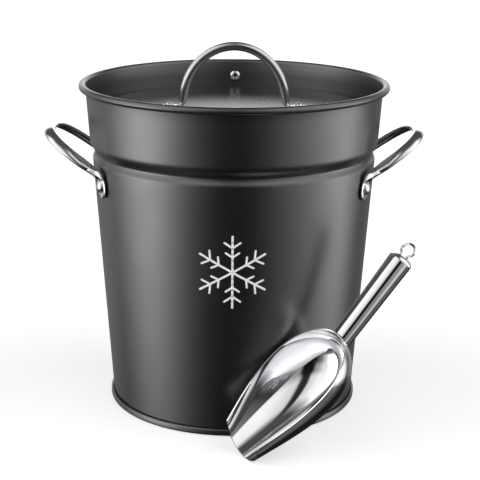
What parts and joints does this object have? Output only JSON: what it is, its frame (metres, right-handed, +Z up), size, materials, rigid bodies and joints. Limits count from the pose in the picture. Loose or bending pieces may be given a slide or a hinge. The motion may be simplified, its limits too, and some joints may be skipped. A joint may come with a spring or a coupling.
{
  "type": "ice bucket",
  "caption": "Tapered double-walled metal ice bucket with a sunken lift-off lid, riveted side handles and a polished scoop leaning on it.",
  "frame": {"origin": "on the bucket's own axis at the height of the table it stands on, inside the seam of the foot", "axes": "+Z up along the bucket's axis, -Y towards the scoop and the viewer, +X to the viewer's right with a side handle at each end of X"},
  "size_m": [0.2578, 0.2593, 0.249],
  "materials": {
    "black_coat": "satin black coating",
    "brushed_bar": "polished bar with a fine brushed grain",
    "polished_steel": "bright polished steel"
  },
  "bodies": {
    "bucket": {"bucket_wall": "black_coat", "rim_wire": "brushed_bar", "base_pan": "black_coat", "inner_pot": "black_coat", "handle_left": "brushed_bar", "handle_right": "brushed_bar", "handle_rivet_left_back": "polished_steel", "handle_rivet_left_front": "polished_steel", "handle_rivet_right_back": "polished_steel", "handle_rivet_right_front": "polished_steel", "scoop_hook": "brushed_bar", "hook_rivet": "polished_steel"},
    "lid": {"lid_pan": "black_coat", "lid_handle": "brushed_bar", "lid_rivet_left": "polished_steel", "lid_rivet_right": "polished_steel"},
    "scoop": {"scoop_bowl": "polished_steel", "scoop_handle": "polished_steel", "scoop_end_cap": "polished_steel", "scoop_ring": "polished_steel"}
  },
  "joints": [
    {"name": "lid_lift", "type": "slide", "parent": "bucket", "child": "lid", "axis": [0, 0, 1], "range_m": [0, 0.12]},
    {"name": "scoop_lift", "type": "slide", "parent": "bucket", "child": "scoop", "axis": [0.2498, -0.6995, 0.6695], "range_m": [0, 0.15]}
  ]
}
